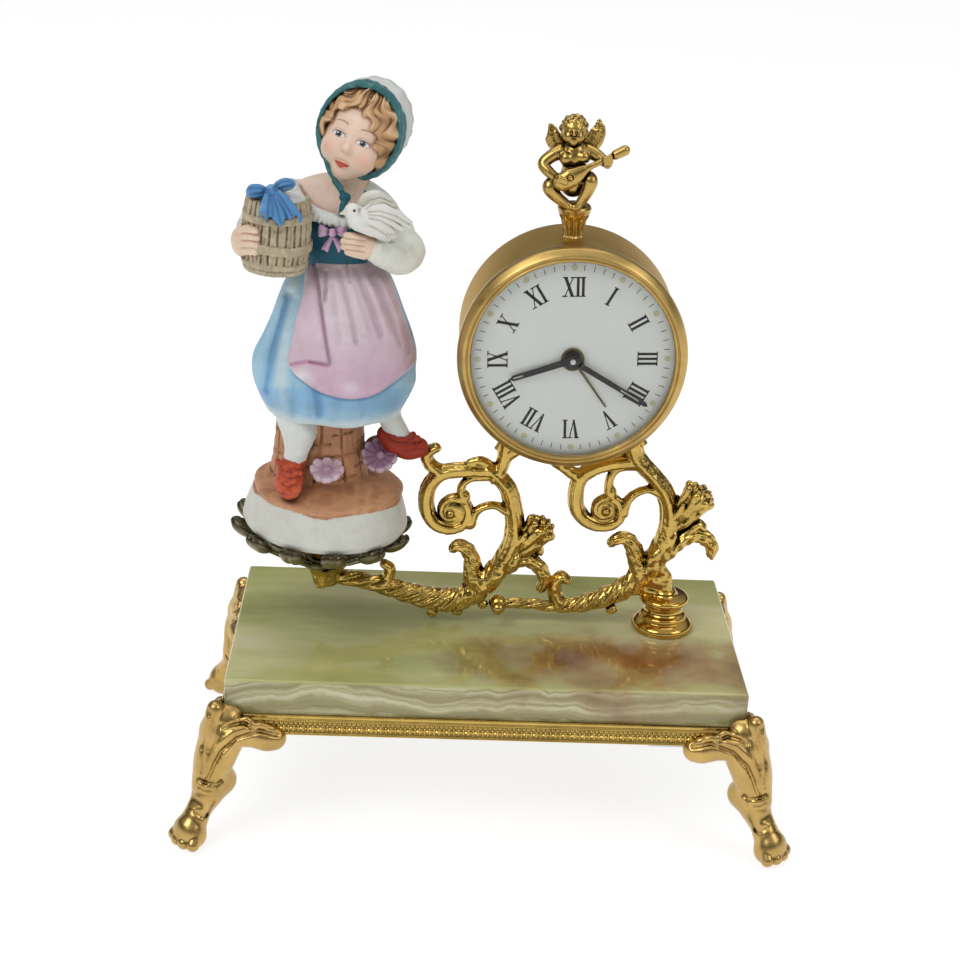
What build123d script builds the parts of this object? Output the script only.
"""Figural table clock: a green stone slab on four cast feet carries two scroll
arms, a wind-up alarm clock with a small cherub on top, and a porcelain figurine
on a petal tray.  Millimetres, +Z up, feet on z = 0, viewer on the -Y side."""
import os
from math import cos, sin, radians, degrees, atan2, hypot, pi

from build123d import *

os.makedirs("parts", exist_ok=True)

# ---------------------------------------------------------------- dimensions
SLAB_L, SLAB_W, SLAB_T = 140.0, 70.0, 11.0
SLAB_Z = 36.0                      # underside of the slab
RAIL_Z0 = 31.5                     # underside of the base frame
RAIL_PROUD = 1.0                   # frame edge beyond the slab
RAIL_LIP = 1.2                     # lip height above the slab's underside
RAIL_W = 7.0
FOOT_X, FOOT_Y = 79.0, 42.3        # centre of a paw
LUG_X, LUG_Y = 64.0, 29.0          # foot screw
PED_X, BR_Y = 50.4, 3.5            # pedestal, and the plane of the bracket
PED_Z = SLAB_Z + SLAB_T
ARM_T = 6.0                        # thickness of the scroll castings
XC, ZC = 18.9, 131.0               # clock axis
Y_REAR = 16.5                      # rear rim of the drum
DRUM_R, DRUM_IN, DRUM_H = 29.5, 28.7, 26.0
BEZEL_R, BEZEL_IN = 30.2, 26.6
DIAL_R = 28.4
TRAY_X, TRAY_Z, TILT = -46.7, 62.0, 3.3
FIT = 0.02                         # radial play of pressed and screwed joints
RUN = 0.05                         # radial play of running pivots

CLOCK = Plane(origin=(XC, Y_REAR, ZC), x_dir=(1, 0, 0), z_dir=(0, -1, 0))
BRK = Plane(origin=(0, BR_Y, 0), x_dir=(1, 0, 0), z_dir=(0, -1, 0))
FIG = Location((TRAY_X, BR_Y, TRAY_Z), (0, TILT, 0))
BOT = (Align.CENTER, Align.CENTER, Align.MIN)


# ------------------------------------------------------------------- helpers
def rod(h0, h1, r, at=(0, 0), mode=Mode.ADD):
    """round bar along the clock axis, h counted from the drum's rear rim"""
    with Locations(CLOCK.offset(h0).location * Location((at[0], at[1], 0))):
        Cylinder(r, h1 - h0, align=BOT, mode=mode)


def plate(h0, h1, pts, mode=Mode.ADD):
    """flat blank with the outline pts, parallel to the dial"""
    with BuildSketch(CLOCK.offset(h0)) as s:
        with BuildLine():
            Polyline(*pts, close=True)
        make_face()
    extrude(s.sketch, amount=h1 - h0, mode=mode)


def bar(h0, h1, p, q, w, w2=None):
    """flat bar from p to q, parallel to the dial"""
    w2 = w if w2 is None else w2
    d = hypot(q[0] - p[0], q[1] - p[1])
    nx, ny = -(q[1] - p[1]) / d, (q[0] - p[0]) / d
    plate(h0, h1, [(p[0] + nx * w / 2, p[1] + ny * w / 2), (p[0] - nx * w / 2, p[1] - ny * w / 2),
                   (q[0] - nx * w2 / 2, q[1] - ny * w2 / 2), (q[0] + nx * w2 / 2, q[1] + ny * w2 / 2)])


def gear_pts(n, m, phase, at, leaf=False):
    """outline of a clock gear; leaf = small driven pinion"""
    add, ded, wr, wp, wt = (0.55, 1.05, 0.30, 0.30, 0.16) if leaf else (0.85, 1.10, 0.44, 0.36, 0.12)
    r, pa, pts = n * m / 2, 360.0 / n, []
    for i in range(n):
        for f, rad in ((-wr, r - ded * m), (-wp, r), (-wt, r + add * m),
                       (wt, r + add * m), (wp, r), (wr, r - ded * m)):
            a = radians(phase + (i + f / 2) * pa)
            pts.append((at[0] + rad * cos(a), at[1] + rad * sin(a)))
    return pts


def mesh_phase(c1, c2, n2):
    """phases that put a tooth of wheel 1 into a gap of pinion 2"""
    phi = degrees(atan2(c2[1] - c1[1], c2[0] - c1[0]))
    return phi, phi + 180.0 + 180.0 / n2


def spiral_pts(at, r0, r1, turns, t, steps=20):
    """outline of a coiled flat spring of thickness t"""
    n = int(turns * steps)
    a, b = [], []
    for i in range(n + 1):
        ang = 2 * pi * turns * i / n
        r = r0 + (r1 - r0) * i / n
        a.append((at[0] + (r + t / 2) * cos(ang), at[1] + (r + t / 2) * sin(ang)))
        b.append((at[0] + (r - t / 2) * cos(ang), at[1] + (r - t / 2) * sin(ang)))
    return a + b[::-1]


def stroke(pts, widths):
    """band of varying width along a run of points, for the cast scrolls"""
    left, right = [], []
    for i, (x, z) in enumerate(pts):
        x0, z0 = pts[max(i - 1, 0)]
        x1, z1 = pts[min(i + 1, len(pts) - 1)]
        d = hypot(x1 - x0, z1 - z0)
        nx, nz = -(z1 - z0) / d, (x1 - x0) / d
        w = widths[0] + (widths[1] - widths[0]) * i / (len(pts) - 1) if len(widths) == 2 else widths[i]
        left.append((x + nx * w / 2, z + nz * w / 2))
        right.append((x - nx * w / 2, z - nz * w / 2))
    return left + right[::-1]


def casting(y0, y1, pts):
    """slab of metal with the outline pts, y0..y1, in the plane of the bracket"""
    with BuildSketch(BRK.offset(BR_Y - y1)) as s:
        with BuildLine():
            Polyline(*pts, close=True)
        make_face()
    extrude(s.sketch, amount=y1 - y0)


def pin_y(x, z, y0, y1, r, mode=Mode.ADD):
    """round bar along Y"""
    with Locations(BRK.offset(BR_Y - y1).location * Location((x, z, 0))):
        Cylinder(r, y1 - y0, align=BOT, mode=mode)


def block(x0, x1, y0, y1, z0, z1, mode=Mode.ADD):
    with Locations(((x0 + x1) / 2, (y0 + y1) / 2, (z0 + z1) / 2)):
        Box(x1 - x0, y1 - y0, z1 - z0, mode=mode)


def post(x, y, z0, z1, r, mode=Mode.ADD):
    """upright round bar"""
    with Locations((x, y, z0)):
        Cylinder(r, z1 - z0, align=BOT, mode=mode)


def turned(x, y, prof):
    """turned piece about an upright axis, prof = (radius, height) outline"""
    with BuildSketch(Plane(origin=(x, y, 0), x_dir=(1, 0, 0), z_dir=(0, -1, 0))) as s:
        with BuildLine():
            Polyline(*prof, close=True)
        make_face()
    revolve(s.sketch, axis=Axis((x, y, 0), (0, 0, 1)))


def turned_clock(prof):
    """turned piece about the clock axis, prof = (radius, h) outline"""
    pl = Plane(origin=(XC, Y_REAR, ZC), x_dir=(1, 0, 0), z_dir=(0, 0, 1))
    with BuildSketch(pl) as s:
        with BuildLine():
            Polyline(*[(r, -h) for r, h in prof], close=True)
        make_face()
    revolve(s.sketch, axis=Axis((XC, Y_REAR, ZC), (0, -1, 0)))


def ball(x, y, z, r):
    with Locations((x, y, z)):
        Sphere(r)


def limb(p, q, r0, r1):
    """straight tapered limb with a round start, from p to q"""
    d = tuple(b - a for a, b in zip(p, q))
    ln = hypot(*d)
    with Locations(Plane(origin=p, z_dir=d).location):
        if abs(r0 - r1) < 1e-6:
            Cylinder(r0, ln, align=BOT)
        else:
            Cone(r0, r1, ln, align=BOT)
    ball(p[0], p[1], p[2], r0 * 1.12)
    ball(q[0], q[1], q[2], r1 * 1.12)


def save(builder, name):
    builder.part.label = name
    export_step(builder.part, f"parts/{name}.step")


# ---------------------------------------------------------------------- base
with BuildPart() as onyx_slab:
    with Locations((0, 0, SLAB_Z)):
        Box(SLAB_L, SLAB_W, SLAB_T, align=BOT)
    chamfer(onyx_slab.edges().group_by(Axis.Z)[-1], 1.1)
    post(PED_X, BR_Y, SLAB_Z, PED_Z, 2.3, Mode.SUBTRACT)
save(onyx_slab, "onyx_slab")

with BuildPart() as base_frame:
    ox, oy = SLAB_L / 2 + RAIL_PROUD, SLAB_W / 2 + RAIL_PROUD
    block(-ox, ox, -oy, oy, RAIL_Z0, SLAB_Z + RAIL_LIP)
    block(-ox + RAIL_W, ox - RAIL_W, -oy + RAIL_W, oy - RAIL_W, RAIL_Z0, SLAB_Z, Mode.SUBTRACT)
    block(-SLAB_L / 2 - 0.05, SLAB_L / 2 + 0.05, -SLAB_W / 2 - 0.05, SLAB_W / 2 + 0.05,
          SLAB_Z, SLAB_Z + RAIL_LIP, Mode.SUBTRACT)
    for sx in (-1, 1):
        for sy in (-1, 1):
            with Locations((sx * LUG_X, sy * LUG_Y, RAIL_Z0)):
                Box(11, 11, SLAB_Z - RAIL_Z0, align=BOT)
    for sx in (-1, 1):
        for sy in (-1, 1):
            post(sx * LUG_X, sy * LUG_Y, RAIL_Z0, SLAB_Z - 0.5, 1.25 + FIT, Mode.SUBTRACT)
save(base_frame, "base_frame")

with BuildPart() as clamp_bar:
    block(PED_X - 6, PED_X + 6, -33.5, 33.5, RAIL_Z0 - 2, RAIL_Z0)
    post(PED_X, BR_Y, RAIL_Z0 - 2, RAIL_Z0, 2.3, Mode.SUBTRACT)
save(clamp_bar, "clamp_bar")

# cast cabriole foot, modelled at the back right corner and mirrored
LEG = [(0.0, FOOT_X, FOOT_Y, 4.9), (2.6, FOOT_X, FOOT_Y, 5.5), (6.0, FOOT_X - 0.6, FOOT_Y - 0.4, 4.9),
       (10.0, FOOT_X - 2.6, FOOT_Y - 1.8, 3.7), (16.0, FOOT_X - 4.6, FOOT_Y - 3.0, 4.0),
       (22.0, FOOT_X - 5.2, FOOT_Y - 3.4, 5.0), (27.5, FOOT_X - 6.6, FOOT_Y - 4.2, 6.0),
       (31.2, FOOT_X - 8.6, FOOT_Y - 5.6, 6.6)]
with BuildPart() as foot_back_right:
    for z, cx, cy, r in LEG:
        with BuildSketch(Plane.XY.offset(z)):
            with Locations((cx, cy)):
                Circle(r)
    loft()
    # knee leaf that wraps the corner
    block(66.5, 74.6, 31.5, 39.6, 27.0, 38.0)
    block(69.0, 73.6, 34.0, 38.6, 38.0, 41.4)
    # scrolled ears along both rails
    block(59.0, 68.0, 36.0, 39.4, 27.6, 33.0)
    block(71.0, 74.4, 24.0, 33.0, 27.6, 33.0)
    pin_y(59.2, 29.8, 36.0, 39.4, 3.6)
    with Locations(Location((71.0, 24.2, 29.8), (0, 90, 0))):
        Cylinder(3.6, 3.4, align=BOT)
    # lug under the frame
    block(58.5, 72.0, 23.5, 37.0, 29.0, RAIL_Z0)
    block(50, ox + 0.02, 20, oy + 0.02, RAIL_Z0, 60, Mode.SUBTRACT)
    post(LUG_X, LUG_Y, 28.0, RAIL_Z0, 1.5, Mode.SUBTRACT)
save(foot_back_right, "foot_back_right")

with BuildPart() as foot_back_left:
    add(mirror(foot_back_right.part, about=Plane.YZ, mode=Mode.PRIVATE))
save(foot_back_left, "foot_back_left")
with BuildPart() as foot_front_right:
    add(mirror(foot_back_right.part, about=Plane.XZ, mode=Mode.PRIVATE))
save(foot_front_right, "foot_front_right")
with BuildPart() as foot_front_left:
    add(mirror(foot_back_left.part, about=Plane.XZ, mode=Mode.PRIVATE))
save(foot_front_left, "foot_front_left")

with BuildPart() as foot_screws:
    for sx in (-1, 1):
        for sy in (-1, 1):
            post(sx * LUG_X, sy * LUG_Y, 27.2, 29.0, 2.5)
            post(sx * LUG_X, sy * LUG_Y, 29.0, SLAB_Z - 0.7, 1.25)
save(foot_screws, "foot_screws")

with BuildPart() as pedestal:
    turned(PED_X, BR_Y, [(1.55, PED_Z), (8.5, PED_Z), (8.7, PED_Z + 0.8), (8.4, PED_Z + 1.9), (7.4, PED_Z + 2.6),
                         (6.5, PED_Z + 3.2), (6.4, PED_Z + 4.3), (5.3, PED_Z + 5.6), (4.9, PED_Z + 7.0),
                         (5.3, PED_Z + 8.0), (6.7, PED_Z + 8.7), (6.9, PED_Z + 9.4), (6.6, PED_Z + 10.1),
                         (4.0, PED_Z + 10.6), (3.4, PED_Z + 11.6), (3.0, PED_Z + 12.2), (1.55, PED_Z + 12.2)])
    post(PED_X, BR_Y, PED_Z, PED_Z + 6, 2.05, Mode.SUBTRACT)
save(pedestal, "pedestal")

with BuildPart() as pedestal_stud:
    post(PED_X, BR_Y, 25.2, PED_Z + 5.8, 2.0)
    post(PED_X, BR_Y, PED_Z + 5.8, PED_Z + 16.6, 1.5)
save(pedestal_stud, "pedestal_stud")

with BuildPart() as stud_nut:
    with BuildSketch(Plane.XY.offset(RAIL_Z0 - 6.0)):
        with Locations((PED_X, BR_Y)):
            RegularPolygon(3.9, 6)
            Circle(2.0 + FIT, mode=Mode.SUBTRACT)
    extrude(amount=4.0)
    post(PED_X, BR_Y, RAIL_Z0 - 2.8, RAIL_Z0 - 2.0, 5.0)               # flange
    post(PED_X, BR_Y, RAIL_Z0 - 6.0, RAIL_Z0 - 2.0, 2.0 + FIT, Mode.SUBTRACT)
save(stud_nut, "stud_nut")

# ------------------------------------------------------------------- bracket
AY0, AY1 = BR_Y - ARM_T / 2, BR_Y + ARM_T / 2
JX, JZ = 3.3, 52.9                 # screw that joins the two scroll castings

with BuildPart() as scroll_arm_right:
    casting(AY0, AY1, stroke([(8.5, 52.9), (12.5, 52.6), (18.7, 52.2), (24.8, 52.8), (30.9, 54.8), (36.9, 57.7),
                              (41.5, 61.4), (44.3, 65.4), (47.1, 69.2), (49.4, 74.8), (50.0, 79.5),
                              (49.3, 84.8), (47.4, 89.3), (44.5, 93.1), (41.3, 96.6), (39.0, 101.0), (37.2, 106.0), (36.4, 111.5)],
                             [2.2, 3.2, 4.6, 5.6, 6.4, 6.8, 6.8, 6.4, 6.2, 6.0, 5.4, 4.8, 4.6, 4.8, 5.4, 6.0, 6.4, 6.4]))
    casting(AY0 + 0.5, AY1 - 0.5, stroke([(40.5, 97.2), (34.0, 96.4), (28.2, 95.0), (24.3, 92.0), (23.7, 87.2), (24.3, 82.8)],
                                         [3.0, 3.0, 3.0, 3.2, 3.4, 3.4]))
    casting(AY0 + 0.5, AY1 - 0.5, stroke([(20.4, 94.4), (25.2, 91.6)], [2.2, 3.2]))
    pin_y(30.5, 82.8, AY0 + 0.5, AY1 - 0.5, 7.4)                       # volute
    casting(AY0 + 1.2, AY1 - 1.2, stroke([(33.0, 88.0), (32.6, 91.0), (33.6, 94.0), (36.5, 96.0)], [1.8, 1.8]))
    casting(AY0 + 1.2, AY1 - 1.2, stroke([(36.5, 83.4), (39.6, 87.1), (43.6, 88.7), (47.6, 87.6)], [1.8, 1.8]))
    casting(AY0, AY1, stroke([(49.8, 77.6), (53.6, 79.4), (55.4, 83.7), (57.0, 87.0), (58.8, 90.2)], [2.6, 2.8, 4.0, 7.2, 6.4]))
    casting(AY0, AY1, stroke([(49.0, 73.4), (53.4, 74.6), (57.0, 75.8), (60.2, 75.0), (62.4, 72.4), (62.9, 69.9)],
                             [4.6, 4.6, 4.2, 3.4, 2.6, 1.6]))
    casting(AY0 + 0.5, AY1 - 0.5, stroke([(43.4, 64.6), (41.2, 69.6), (40.0, 72.6), (38.1, 74.4), (35.7, 74.0)], [4.0, 3.4, 2.8, 2.2, 1.6]))
    casting(AY0 + 0.5, AY1 - 0.5, stroke([(17.6, 53.4), (18.8, 58.0), (20.4, 61.4), (22.0, 61.0)], [4.0, 2.6, 1.8, 1.2]))
    pin_y(35.6, 52.9, AY0 + 1, AY1 - 1, 1.6)                           # drop ball
    casting(AY0 + 1, AY1 - 1, stroke([(35.6, 52.9), (35.6, 57.0)], [1.6, 2.4]))
    casting(AY0, AY1, [(46.9, PED_Z + 12.2), (53.9, PED_Z + 12.2), (53.4, 66.0), (51.6, 70.0), (46.0, 69.0), (45.2, 63.0)])
    pin_y(JX, JZ, AY0, BR_Y, 2.8)                                      # joint lug, front half
    casting(AY0, BR_Y, stroke([(JX, JZ), (10.0, 52.8)], [3.0, 2.6]))
    rod(-5, 40, DRUM_R, (0, 0), Mode.SUBTRACT)
    pin_y(JX, JZ, AY0, AY1, 1.2 + FIT, Mode.SUBTRACT)
    post(PED_X, BR_Y, PED_Z + 12, PED_Z + 17, 1.5 + FIT, Mode.SUBTRACT)
    RA = -52.0
    with Locations(Plane(origin=(XC + 28 * cos(radians(RA)), BR_Y, ZC + 28 * sin(radians(RA))),
                         z_dir=(cos(radians(RA)), 0, sin(radians(RA)))).location):
        Cylinder(1.2 + FIT, 8.2, align=BOT, mode=Mode.SUBTRACT)
save(scroll_arm_right, "scroll_arm_right")

with BuildPart() as scroll_arm_left:
    casting(AY0, AY1, stroke([(-45.2, 60.6), (-40.2, 59.6), (-33.9, 58.4), (-25.6, 56.2), (-18.3, 54.6), (-12.1, 54.0),
                              (-6.4, 55.4), (-1.5, 58.6), (1.6, 62.2), (4.4, 66.4), (6.4, 71.3), (6.8, 76.7),
                              (6.1, 82.6), (4.6, 87.6), (2.6, 91.4), (2.4, 96.2), (3.4, 101.0), (4.6, 108.5)],
                             [2.8, 2.6, 3.4, 4.8, 5.8, 6.6, 6.8, 6.6, 6.2, 6.0, 5.6, 5.0, 4.6, 4.4, 4.8, 5.6, 6.2, 6.4]))
    pin_y(-46.6, 60.4, AY0 - 1.6, AY1 + 1.6, 0.9)
    casting(AY0 + 0.5, AY1 - 0.5, stroke([(2.0, 92.4), (-7.6, 93.2), (-13.5, 92.4), (-16.4, 94.2), (-17.5, 97.4)],
                                         [3.0, 3.0, 3.2, 2.6, 2.0]))
    pin_y(-17.5, 97.9, AY0 + 1.2, AY1 - 1.2, 1.9)
    casting(AY0 + 0.5, AY1 - 0.5, stroke([(-13.0, 92.6), (-16.8, 88.8), (-17.6, 84.4), (-17.0, 80.0)], [3.0, 3.2, 3.4, 3.4]))
    pin_y(-11.6, 80.2, AY0 + 0.5, AY1 - 0.5, 7.2)                      # volute
    casting(AY0 + 1.2, AY1 - 1.2, stroke([(-8.4, 85.2), (-8.6, 87.6), (-7.6, 90.0), (-5.0, 92.6)], [1.8, 1.8]))
    casting(AY0 + 1.2, AY1 - 1.2, stroke([(-5.6, 79.4), (-2.9, 81.6), (0.7, 82.6), (5.0, 81.0)], [1.8, 1.8]))
    casting(AY0, AY1, stroke([(5.6, 70.0), (9.1, 71.8), (12.0, 74.0), (14.2, 76.9), (16.4, 79.0)], [2.6, 2.8, 3.8, 7.0, 5.6]))
    casting(AY0, AY1, stroke([(4.6, 66.0), (9.4, 66.0), (12.0, 65.2), (14.9, 62.9), (16.2, 60.4)], [4.8, 4.6, 4.0, 3.0, 1.6]))
    casting(AY0 + 0.5, AY1 - 0.5, stroke([(-2.4, 59.0), (-4.0, 63.4), (-4.4, 66.2), (-6.0, 69.2), (-8.5, 70.2)], [4.0, 3.4, 2.8, 2.2, 1.6]))
    casting(AY0 + 0.5, AY1 - 0.5, stroke([(-30.0, 57.4), (-29.6, 60.6), (-28.0, 63.0), (-26.3, 62.6)], [3.4, 2.4, 1.6, 1.2]))
    for bx, bz in ((-15.2, 49.2), (-8.2, 50.0)):
        pin_y(bx, bz, AY0 + 1, AY1 - 1, 1.6)
        casting(AY0 + 1, AY1 - 1, stroke([(bx, bz), (bx, bz + 4.6)], [1.6, 2.4]))
    pin_y(JX, JZ, BR_Y, AY1, 2.8)                                      # joint lug, rear half
    casting(BR_Y, AY1, stroke([(JX, JZ), (-2.2, 57.6)], [3.2, 3.6]))
    post(TRAY_X, BR_Y, 57.2, 61.5, 4.2)                                # cup under the tray
    with Locations(FIG):
        Cylinder(9, 12, align=BOT, mode=Mode.SUBTRACT)
    rod(-5, 40, DRUM_R, (0, 0), Mode.SUBTRACT)
    pin_y(JX, JZ, AY0, AY1, 1.2 + FIT, Mode.SUBTRACT)
    with Locations(FIG):
        with Locations((0, 0, -6)):
            Cylinder(1.5 + FIT, 8, align=BOT, mode=Mode.SUBTRACT)
    LA = -119.5
    with Locations(Plane(origin=(XC + 28 * cos(radians(LA)), BR_Y, ZC + 28 * sin(radians(LA))),
                         z_dir=(cos(radians(LA)), 0, sin(radians(LA)))).location):
        Cylinder(1.2 + FIT, 8.2, align=BOT, mode=Mode.SUBTRACT)
save(scroll_arm_left, "scroll_arm_left")

with BuildPart() as arm_joint_screw:
    pin_y(JX, JZ, AY0 - 1.6, AY0, 2.3)
    pin_y(JX, JZ, AY0, AY1, 1.2)
save(arm_joint_screw, "arm_joint_screw")

with BuildPart() as drum_screws:
    for a in (RA, LA):
        c, s_ = cos(radians(a)), sin(radians(a))
        with Locations(Plane(origin=(XC + 26.9 * c, BR_Y, ZC + 26.9 * s_), z_dir=(c, 0, s_)).location):
            Cylinder(1.9, 1.6, align=BOT)
        with Locations(Plane(origin=(XC + 28.5 * c, BR_Y, ZC + 28.5 * s_), z_dir=(c, 0, s_)).location):
            Cylinder(1.2, 7.5, align=BOT)
    post(17.9, BR_Y, ZC + 26.9, ZC + 28.5, 1.9)
    post(17.9, BR_Y, ZC + 28.5, 166.2, 1.2)
save(drum_screws, "drum_screws")

# petal tray and figurine share one tilted frame: local z = 0 is the cup's rim
with BuildPart() as figurine_tray:
    with BuildSketch(Plane.XZ) as sk:
        with BuildLine():
            Polyline((1.55, 0), (4.4, 0), (5.0, 1.6), (8.0, 4.0), (14.0, 6.6), (20.0, 10.4), (23.4, 12.9), (25.6, 14.2),
                     (25.5, 15.2), (23.3, 15.3), (22.9, 14.5), (20.6, 14.5), (17.6, 10.6), (13.0, 8.0), (6.5, 5.2), (3.0, 4.2), (1.55, 4.2), close=True)
        make_face()
    revolve(axis=Axis.Z)
figurine_tray.part.label = "figurine_tray"
figurine_tray_placed = FIG * figurine_tray.part
figurine_tray_placed.label = "figurine_tray"
export_step(figurine_tray_placed, "parts/figurine_tray.step")

with BuildPart() as tray_screw:
    with Locations((0, 0, -5.8)):
        Cylinder(1.5, 10.0, align=BOT)
    with Locations((0, 0, 4.2)):
        Cylinder(3.0, 1.8, align=BOT)
tray_screw_placed = FIG * tray_screw.part
tray_screw_placed.label = "tray_screw"
export_step(tray_screw_placed, "parts/tray_screw.step")

with BuildPart() as figurine:
    with Locations((0, 0, 14.5)):
        Cone(22.7, 22.2, 3.2, align=BOT)
    with Locations((0, 0, 17.7)):
        Cone(21.6, 18.0, 5.4, align=BOT)
    with Locations((3.5, 5.0, 22.0)):
        Cone(8.5, 6.5, 34.0, align=BOT)                                # stump
    limb((-8.5, -6.0, 25.0), (-4.5, -1.0, 56.0), 3.2, 4.2)             # legs
    limb((10.5, -6.0, 30.0), (4.5, -1.0, 56.0), 3.2, 4.2)
    limb((-9.5, -11.5, 24.2), (-8.5, -6.0, 25.6), 2.9, 3.3)            # shoes
    limb((15.5, -9.0, 28.6), (10.5, -6.0, 30.2), 2.7, 3.2)
    with Locations((0.5, 0, 51.5)):
        Cone(20.0, 15.5, 26.0, align=BOT)                              # skirt
    with Locations((0.5, 0, 77.5)):
        Cone(15.5, 9.4, 10.5, align=BOT)
    with Locations((0.5, 0, 88.0)):
        Cone(8.6, 10.6, 14.0, align=BOT)                               # bodice
    with Locations((0.5, 0, 102.0)):
        Cone(10.6, 4.6, 8.0, align=BOT)
    with Locations((1.6, 0, 106.0)):
        Cylinder(4.2, 8.0, align=BOT)
    limb((10.5, 0.0, 104.0), (18.0, -1.0, 91.5), 4.6, 5.0)             # arms
    limb((18.0, -1.0, 91.5), (7.0, -9.5, 94.5), 4.6, 3.0)
    limb((-10.5, 0.0, 104.0), (-17.0, -1.0, 93.0), 4.6, 4.4)
    limb((-17.0, -1.0, 93.0), (-25.0, -7.0, 91.5), 4.0, 3.0)
    with Locations(Location((-17.5, -8.0, 85.5), (0, -12, 0))):
        Cone(6.4, 8.4, 15.5, align=BOT)                                # basket
    limb((0.5, -11.0, 96.0), (8.0, -10.0, 101.0), 4.2, 2.6)            # dove
    ball(2.4, -1.6, 120.4, 10.4)                                       # head
    ball(2.6, 2.6, 125.0, 12.6)                                        # bonnet
figurine_placed = FIG * figurine.part
figurine_placed.label = "figurine"
export_step(figurine_placed, "parts/figurine.step")

# ---------------------------------------------------------------------- case
POSTS = [(0.0, -22.5), (11.25, 19.5), (-21.7, -5.8), (-3.9, 22.2)]     # movement pillars
CA = (0.0, 0.0)
MB = (10.2 * cos(radians(215)), 10.2 * sin(radians(215)))              # going barrel
AB = (12.6, -9.6)                                                      # alarm barrel
W3 = (8.5 * cos(radians(60)), 8.5 * sin(radians(60)))                  # third wheel
W4 = (W3[0] + 7.92 * cos(radians(170)), W3[1] + 7.92 * sin(radians(170)))
WE = (W4[0] + 7.2 * cos(radians(190)), W4[1] + 7.2 * sin(radians(190)))
BW = (-14.0, 17.5)                                                     # balance
PL = (WE[0] + 5.4 * (BW[0] - WE[0]) / hypot(BW[0] - WE[0], BW[1] - WE[1]),
      WE[1] + 5.4 * (BW[1] - WE[1]) / hypot(BW[0] - WE[0], BW[1] - WE[1]))
SW = (AB[0] + 10.15 * cos(radians(75)), AB[1] + 10.15 * sin(radians(75)))
HM = (21.5, 1.5)                                                       # hammer arbor
SA = (0.0, -12.0)                                                      # alarm setting arbor
MW = (6.0, 0.0)                                                        # minute wheel
BT = (12.0, 12.0)                                                      # alarm stop button
DF = [(-17.0, 12.0), (17.5, 11.0), (-12.5, -18.5)]                     # dial feet
RP0, RP1, FP0, FP1 = 6.0, 7.0, 20.1, 21.1                              # movement plates
RC0, RC1 = 1.0, 1.8                                                    # rear cover

with BuildPart() as case_drum:
    turned_clock([(DRUM_IN, 0), (DRUM_R, 0), (DRUM_R, DRUM_H), (DRUM_IN, DRUM_H), (DRUM_IN, 25.0),
                  (27.2, 25.0), (27.2, 24.0), (DRUM_IN, 24.0)])
    for a in (RA, LA):
        c, s_ = cos(radians(a)), sin(radians(a))
        with Locations(Plane(origin=(XC + 26 * c, BR_Y, ZC + 26 * s_), z_dir=(c, 0, s_)).location):
            Cylinder(1.2 + FIT, 5, align=BOT, mode=Mode.SUBTRACT)
            Cylinder(1.95, 2.5, align=BOT, mode=Mode.SUBTRACT)
    post(17.9, BR_Y, ZC + 26, ZC + 31, 1.2 + FIT, Mode.SUBTRACT)
    post(17.9, BR_Y, ZC + 26, ZC + 28.5, 1.95, Mode.SUBTRACT)
save(case_drum, "case_drum")

with BuildPart() as bezel:
    turned_clock([(DRUM_R + FIT, 23.4), (30.0, 23.4), (BEZEL_R, 24.2), (BEZEL_R, 25.9), (29.9, 27.0), (29.3, 27.8), (28.4, 28.3),
                  (27.5, 28.3), (26.9, 28.0), (BEZEL_IN, 27.6), (BEZEL_IN, 27.3), (28.6, 27.3), (28.6, 26.0), (DRUM_R + FIT, 26.0)])
save(bezel, "bezel")

with BuildPart() as crystal:
    dome_o = [(26.0 * i / 8, 31.8 - (26.0 * i / 8) ** 2 / 186.0) for i in range(9)]
    dome_i = [(26.0 * i / 8, 31.0 - (26.0 * i / 8) ** 2 / 190.0) for i in range(9)]
    turned_clock(dome_o + [(26.4, 27.2), (28.4, 27.2), (28.4, 26.4), (26.2, 26.4)] + dome_i[::-1])
save(crystal, "crystal")

with BuildPart() as dial_ring:
    turned_clock([(27.0, 25.5), (28.4, 25.5), (28.4, 26.4), (27.0, 26.4)])
save(dial_ring, "dial_ring")

with BuildPart() as dial:
    rod(25.0, 25.5, DIAL_R)
    rod(25.0, 25.5, 2.5, CA, Mode.SUBTRACT)
    for p in DF:
        rod(20.4, 25.0, 0.8, p)
save(dial, "dial")

with BuildPart() as rear_cover:
    rod(RC0, RC1, 28.6)
    turned_clock([(27.6, RC1), (28.6, RC1), (28.6, 5.0), (27.6, 5.0)])
    rod(RC0, RC1, 1.3, CA, Mode.SUBTRACT)
    rod(RC0, RC1, 1.2, SA, Mode.SUBTRACT)
    rod(RC0, RC1, 1.9, MB, Mode.SUBTRACT)
    rod(RC0, RC1, 1.9, AB, Mode.SUBTRACT)
    rod(RC0, RC1, 1.3, BT, Mode.SUBTRACT)
    for p in POSTS:
        rod(RC0, RC1, 1.0, p, Mode.SUBTRACT)
    with Locations(CLOCK.offset(RC0).location * Location((BW[0] + 6.0, BW[1], 0))):
        Box(2.6, 6.4, RC1 - RC0, align=BOT, mode=Mode.SUBTRACT)        # regulator window
save(rear_cover, "rear_cover")

with BuildPart() as cover_posts:
    for p in POSTS:
        rod(RC1, RP0, 1.8, p)
        rod(RP0, 10.0, 0.9, p)
        rod(RC1, 4.6, 0.9 + FIT, p, Mode.SUBTRACT)
save(cover_posts, "cover_posts")

with BuildPart() as cover_screws:
    for p in POSTS:
        rod(0.2, RC0, 1.8, p)
        rod(RC0, 4.4, 0.9, p)
save(cover_screws, "cover_screws")

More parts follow.
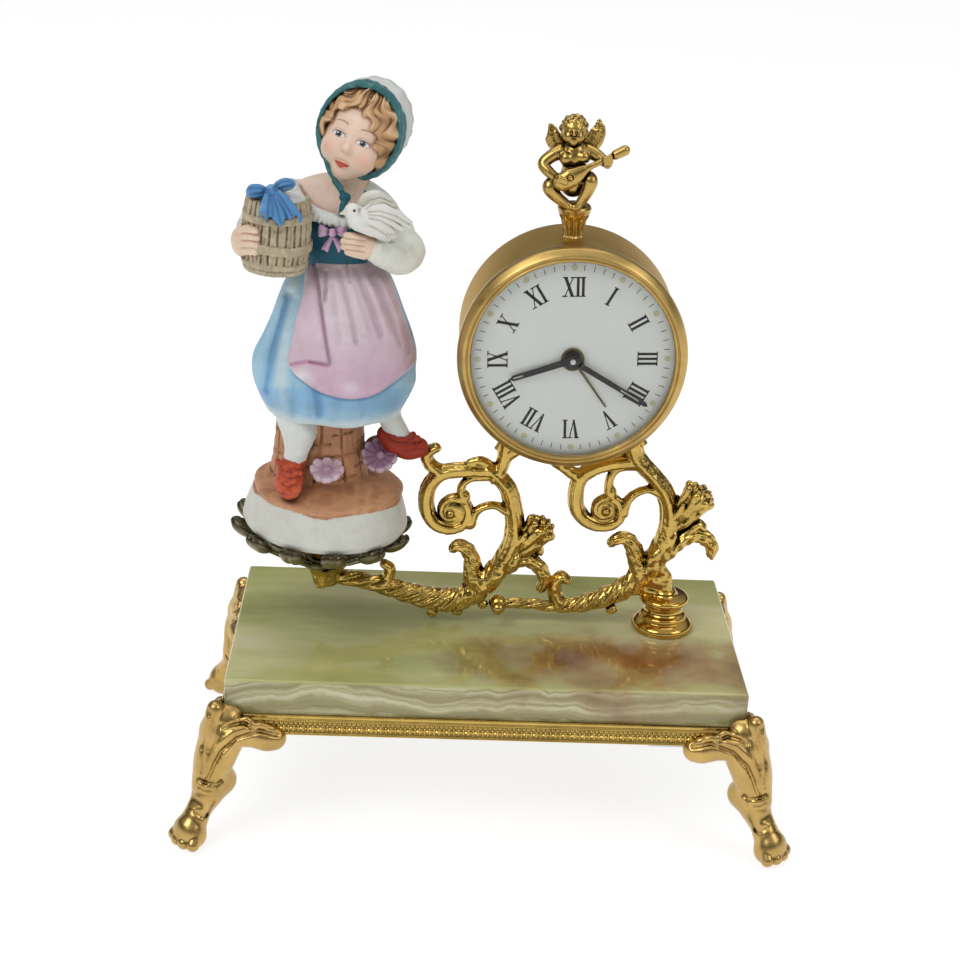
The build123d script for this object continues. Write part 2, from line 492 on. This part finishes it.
# ------------------------------------------------------------ cherub on top
CX = 17.9
with BuildPart() as cherub_finial:
    turned(CX, BR_Y, [(0, 159.4), (3.9, 159.4), (3.6, 161.6), (2.6, 162.6), (2.9, 164.6), (3.7, 166.6), (4.5, 167.6), (5.0, 169.2),
                      (4.2, 171.2), (3.2, 173.0), (3.4, 176.6), (3.7, 178.6), (2.0, 180.6), (1.8, 183.0), (0, 183.0)])
    ball(CX - 1.5, BR_Y - 0.4, 186.2, 5.4)
    casting(BR_Y - 4.8, BR_Y - 1.2, stroke([(CX - 5.4, 170.6), (CX - 1.0, 169.0), (CX + 5.0, 170.4)], [3.0, 3.4, 3.0]))      # crossed legs
    casting(BR_Y - 3.0, BR_Y - 0.4, stroke([(CX - 2.6, 178.4), (CX - 8.0, 179.4), (CX - 4.6, 175.0), (CX - 1.0, 174.6)], [2.6, 2.4, 2.2, 2.0]))
    casting(BR_Y - 3.0, BR_Y - 0.4, stroke([(CX + 2.2, 178.2), (CX + 6.2, 178.4), (CX + 5.0, 180.6)], [2.6, 2.2, 2.0]))
    casting(BR_Y - 5.4, BR_Y - 2.6, stroke([(CX - 4.2, 172.8), (CX - 1.0, 174.6), (CX + 2.4, 176.8), (CX + 11.6, 183.0)], [3.4, 5.2, 2.0, 1.6]))
    casting(BR_Y + 2.2, BR_Y + 3.8, stroke([(CX - 1.2, 176.5), (CX - 5.0, 181.5), (CX - 8.2, 188.6)], [3.0, 5.0, 1.6]))       # wings
    casting(BR_Y + 2.2, BR_Y + 3.8, stroke([(CX + 0.6, 176.5), (CX + 4.0, 182.5), (CX + 5.8, 190.2)], [3.0, 5.0, 1.6]))
    rod(-5, 40, DRUM_R, CA, Mode.SUBTRACT)
    post(CX, BR_Y, 155, 166.4, 1.2 + FIT, Mode.SUBTRACT)
save(cherub_finial, "cherub_finial")

# ------------------------------------------------------------------ movement
PIV = 0.4                          # pivot radius of the train
with BuildPart() as rear_plate:
    rod(RP0, RP1, 25.0)
    rod(RP0, RP1, 1.0 + RUN, CA, Mode.SUBTRACT)
    rod(RP0, RP1, 0.9 + RUN, SA, Mode.SUBTRACT)
    rod(RP0, RP1, 1.5 + RUN, MB, Mode.SUBTRACT)
    rod(RP0, RP1, 1.5 + RUN, AB, Mode.SUBTRACT)
    for p in (W3, W4, WE, PL, BW, SW, HM):
        rod(RP0, RP1, PIV + RUN, p, Mode.SUBTRACT)
    for p in POSTS:
        rod(RP0, RP1, 0.95, p, Mode.SUBTRACT)
    rod(4.0, RP0, 1.5, BW)                                             # regulator boss
    rod(4.0, RP0, PIV + RUN, BW, Mode.SUBTRACT)
save(rear_plate, "rear_plate")

with BuildPart() as front_plate:
    rod(FP0, FP1, 25.0)
    rod(FP0, FP1, 1.0 + RUN, CA, Mode.SUBTRACT)
    rod(FP0, FP1, 0.9 + RUN, SA, Mode.SUBTRACT)
    rod(FP0, FP1, 1.5 + RUN, MB, Mode.SUBTRACT)
    rod(FP0, FP1, 1.5 + RUN, AB, Mode.SUBTRACT)
    for p in (W3, W4, WE, PL, BW, SW, HM):
        rod(FP0, FP1, PIV + RUN, p, Mode.SUBTRACT)
    for p in POSTS:
        rod(FP0, FP1, 0.95, p, Mode.SUBTRACT)
    for p in DF:
        rod(FP0, FP1, 0.8 + FIT, p, Mode.SUBTRACT)
    rod(FP1, 23.3, 0.5, MW)                                            # minute wheel stud
save(front_plate, "front_plate")

with BuildPart() as plate_pillars:
    for p in POSTS:
        rod(RP1, FP0, 1.8, p)
        rod(RP1, 10.2, 0.9 + FIT, p, Mode.SUBTRACT)
        rod(16.0, FP0, 0.9 + FIT, p, Mode.SUBTRACT)
save(plate_pillars, "plate_pillars")

with BuildPart() as plate_screws:
    for p in POSTS:
        rod(16.4, FP1, 0.9, p)
        rod(FP1, 22.0, 1.8, p)
save(plate_screws, "plate_screws")

ph1, ph2 = mesh_phase(MB, CA, 12)
with BuildPart() as time_barrel:
    plate(17.0, 18.0, gear_pts(56, 0.3, ph1, MB))
    rod(8.6, 17.0, 7.2, MB)
    rod(8.6, 16.4, 6.6, MB, Mode.SUBTRACT)
    rod(16.4, 18.0, 1.5 + RUN, MB, Mode.SUBTRACT)
save(time_barrel, "time_barrel")

with BuildPart() as time_mainspring:
    plate(9.0, 16.0, spiral_pts(MB, 2.4, 6.44, 7, 0.3))
save(time_mainspring, "time_mainspring")

with BuildPart() as time_winding_arbor:
    rod(-3.0, FP1 + 0.4, 1.5, MB)
save(time_winding_arbor, "time_winding_arbor")

with BuildPart() as center_wheel:
    plate(16.6, 18.9, gear_pts(12, 0.3, ph2, CA, True))
    ph3, ph4 = mesh_phase(CA, W3, 8)
    plate(18.9, 19.5, gear_pts(60, 0.25, ph3, CA))
    rod(16.6, 19.5, 1.0 + RUN, CA, Mode.SUBTRACT)
save(center_wheel, "center_wheel")

ph5, ph6 = mesh_phase(W3, W4, 8)
with BuildPart() as third_wheel:
    rod(RP0, FP1, PIV, W3)
    rod(RP1 + 0.1, FP0 - 0.1, 0.65, W3)
    plate(18.6, 19.8, gear_pts(8, 0.25, ph4, W3, True))
    plate(14.2, 14.8, gear_pts(64, 0.22, ph5, W3))
save(third_wheel, "third_wheel")

ph7, ph8 = mesh_phase(W4, WE, 8)
with BuildPart() as fourth_wheel:
    rod(RP0, FP1, PIV, W4)
    rod(RP1 + 0.1, FP0 - 0.1, 0.55, W4)
    plate(13.9, 15.1, gear_pts(8, 0.22, ph6, W4, True))
    plate(11.0, 11.6, gear_pts(64, 0.2, ph7, W4))
save(fourth_wheel, "fourth_wheel")

with BuildPart() as escape_wheel:
    rod(RP0, FP1, PIV, WE)
    rod(RP1 + 0.1, FP0 - 0.1, 0.5, WE)
    plate(10.7, 11.9, gear_pts(8, 0.2, ph8, WE, True))
    tooth = []
    for i in range(15):
        for da, rr in ((0, 3.7), (3, 4.5), (5, 4.5), (13, 3.7)):
            t = radians(i * 24 + da)
            tooth.append((WE[0] + rr * cos(t), WE[1] + rr * sin(t)))
    plate(14.2, 14.8, tooth)
save(escape_wheel, "escape_wheel")

EX, EY = (BW[0] - WE[0]) / hypot(BW[0] - WE[0], BW[1] - WE[1]), (BW[1] - WE[1]) / hypot(BW[0] - WE[0], BW[1] - WE[1])
with BuildPart() as pallet_lever:
    rod(RP0, FP1, PIV, PL)
    rod(13.9, 15.1, 0.8, PL)
    bar(14.2, 14.8, PL, (PL[0] + 3.7 * EX, PL[1] + 3.7 * EY), 0.9, 0.7)
    bar(14.2, 14.8, (PL[0] - 2.6 * EY, PL[1] + 2.6 * EX), (PL[0] + 2.6 * EY, PL[1] - 2.6 * EX), 0.8)
save(pallet_lever, "pallet_lever")

with BuildPart() as balance_wheel:
    rod(4.6, FP1, PIV, BW)
    rod(RP1 + 0.1, FP0 - 0.1, 0.55, BW)
    rod(9.2, 9.9, 4.5, BW)
    rod(9.2, 9.9, 3.8, BW, Mode.SUBTRACT)
    rod(9.2, 9.9, 1.0, BW)
    bar(9.2, 9.9, (BW[0] - 4.1, BW[1]), (BW[0] + 4.1, BW[1]), 0.9)
    rod(13.9, 15.1, 0.8, BW)
save(balance_wheel, "balance_wheel")

with BuildPart() as hairspring:
    plate(7.9, 8.4, spiral_pts(BW, 1.0, 3.6, 5, 0.16))
    rod(7.9, 8.4, 0.95, BW)
    rod(7.9, 8.4, 0.55 + FIT, BW, Mode.SUBTRACT)
save(hairspring, "hairspring")

with BuildPart() as regulator_lever:
    rod(4.4, 5.2, 2.7, BW)
    bar(4.4, 5.2, BW, (BW[0] + 6.6, BW[1]), 1.3)
    with Locations(CLOCK.offset(-0.6).location * Location((BW[0] + 6.0, BW[1], 0))):
        Box(1.2, 1.3, 5.0, align=BOT)
    rod(4.4, 5.2, 1.5 + RUN, BW, Mode.SUBTRACT)
save(regulator_lever, "regulator_lever")

ph9, ph10 = mesh_phase(MW, CA, 12)
with BuildPart() as center_arbor:
    rod(-3.0, 27.6, 1.0, CA)
    plate(21.4, 22.2, gear_pts(12, 0.25, ph10, CA, True))
save(center_arbor, "center_arbor")

ph11, ph12 = mesh_phase(CA, MW, 10)
with BuildPart() as minute_wheel:
    plate(21.5, 22.1, gear_pts(36, 0.25, ph9, MW))
    plate(22.1, 23.1, gear_pts(10, 0.24, ph12, MW, True))
    rod(21.5, 23.1, 0.5 + RUN, MW, Mode.SUBTRACT)
save(minute_wheel, "minute_wheel")

with BuildPart() as hour_wheel:
    plate(22.5, 23.0, gear_pts(40, 0.24, ph11, CA))
    rod(22.5, 26.8, 1.6, CA)
    rod(22.5, 26.8, 1.0 + 0.08, CA, Mode.SUBTRACT)
save(hour_wheel, "hour_wheel")

ph13, ph14 = mesh_phase(CA, SA, 20)
with BuildPart() as alarm_wheel:
    plate(23.8, 24.4, gear_pts(60, 0.3, ph13, CA))
    rod(23.8, 26.2, 2.2, CA)
    rod(23.8, 26.2, 1.6 + 0.08, CA, Mode.SUBTRACT)
save(alarm_wheel, "alarm_wheel")

with BuildPart() as alarm_set_arbor:
    rod(-2.6, 24.7, 0.9, SA)
    plate(23.6, 24.6, gear_pts(20, 0.3, ph14, SA, True))
save(alarm_set_arbor, "alarm_set_arbor")


def knob_pts(at, r, n):
    out = []
    for i in range(n):
        for f, rr in ((-0.30, r), (0.30, r), (0.34, r - 0.35), (0.66, r - 0.35)):
            t = 2 * pi * (i + f) / n
            out.append((at[0] + rr * cos(t), at[1] + rr * sin(t)))
    return out


with BuildPart() as time_set_knob:
    plate(-3.2, 0.2, knob_pts(CA, 3.6, 18))
    rod(-3.2, 0.2, 1.0 + FIT, CA, Mode.SUBTRACT)
save(time_set_knob, "time_set_knob")

with BuildPart() as alarm_set_knob:
    plate(-2.8, 0.2, knob_pts(SA, 3.2, 16))
    rod(-2.8, 0.2, 0.9 + FIT, SA, Mode.SUBTRACT)
save(alarm_set_knob, "alarm_set_knob")


def key(at):
    rod(-4.6, 0.4, 2.7, at)
    rod(-3.1, 0.4, 1.5 + FIT, at, Mode.SUBTRACT)
    bar(-10.4, -4.6, (at[0] - 7.0, at[1]), (at[0] + 7.0, at[1]), 1.5)


with BuildPart() as time_winding_key:
    key(MB)
save(time_winding_key, "time_winding_key")

with BuildPart() as alarm_winding_key:
    key(AB)
save(alarm_winding_key, "alarm_winding_key")

# alarm side
ph15, ph16 = mesh_phase(AB, SW, 10)
with BuildPart() as alarm_barrel:
    plate(17.0, 18.0, gear_pts(48, 0.35, ph15, AB))
    rod(8.6, 17.0, 7.0, AB)
    rod(8.6, 16.4, 6.4, AB, Mode.SUBTRACT)
    rod(16.4, 18.0, 1.5 + RUN, AB, Mode.SUBTRACT)
save(alarm_barrel, "alarm_barrel")

with BuildPart() as alarm_mainspring:
    plate(9.0, 16.0, spiral_pts(AB, 2.4, 6.24, 6, 0.3))
save(alarm_mainspring, "alarm_mainspring")

with BuildPart() as alarm_winding_arbor:
    rod(-3.0, FP1 + 0.4, 1.5, AB)
save(alarm_winding_arbor, "alarm_winding_arbor")

with BuildPart() as strike_wheel:
    rod(RP0, FP1, PIV, SW)
    rod(RP1 + 0.1, FP0 - 0.1, 0.8, SW)
    plate(16.7, 18.3, gear_pts(10, 0.35, ph16, SW, True))
    tooth = []
    for i in range(18):
        for da, rr in ((0, 3.9), (4, 4.9), (9, 4.9), (14, 3.9)):
            t = radians(i * 20 + da)
            tooth.append((SW[0] + rr * cos(t), SW[1] + rr * sin(t)))
    plate(18.9, 19.5, tooth)
save(strike_wheel, "strike_wheel")

with BuildPart() as alarm_hammer:
    rod(RP0, FP1, PIV, HM)
    rod(9.4, 19.6, 0.7, HM)
    bar(10.0, 10.9, HM, (20.6, 15.0), 1.3)
    rod(8.4, 12.6, 1.9, (20.6, 15.0))
    bar(18.9, 19.5, HM, (HM[0] - 1.2, HM[1] - 0.1), 1.0)
save(alarm_hammer, "alarm_hammer")

with BuildPart() as alarm_stop_button:
    rod(-2.4, 4.2, 1.2, BT)
    rod(-2.4, -1.2, 2.0, BT)
    rod(2.1, 2.7, 2.0, BT)
save(alarm_stop_button, "alarm_stop_button")

# --------------------------------------------------------------------- hands
HOUR_A, MIN_A, ALARM_A = 250.0, 120.0, 143.5                           # clockwise from XII


def clockwise(a, r):
    return (r * sin(radians(a)), r * cos(radians(a)))


with BuildPart() as alarm_hand:
    rod(25.9, 26.2, 3.1, CA)
    bar(25.9, 26.2, clockwise(ALARM_A, 2.0), clockwise(ALARM_A, 16.0), 0.7, 0.4)
    rod(25.9, 26.2, 2.2 + FIT, CA, Mode.SUBTRACT)
save(alarm_hand, "alarm_hand")

with BuildPart() as hour_hand:
    rod(26.45, 26.8, 2.4, CA)
    bar(26.45, 26.8, clockwise(HOUR_A, 1.9), clockwise(HOUR_A, 17.2), 1.7, 1.5)
    rod(26.45, 26.8, 1.6 + FIT, CA, Mode.SUBTRACT)
save(hour_hand, "hour_hand")

with BuildPart() as minute_hand:
    rod(27.05, 27.4, 2.3, CA)
    bar(27.05, 27.4, clockwise(MIN_A, 1.6), clockwise(MIN_A, 23.6), 1.4, 1.1)
    rod(27.4, 27.9, 1.5, CA)
    rod(27.0, 27.62, 1.0 + FIT, CA, Mode.SUBTRACT)
save(minute_hand, "minute_hand")
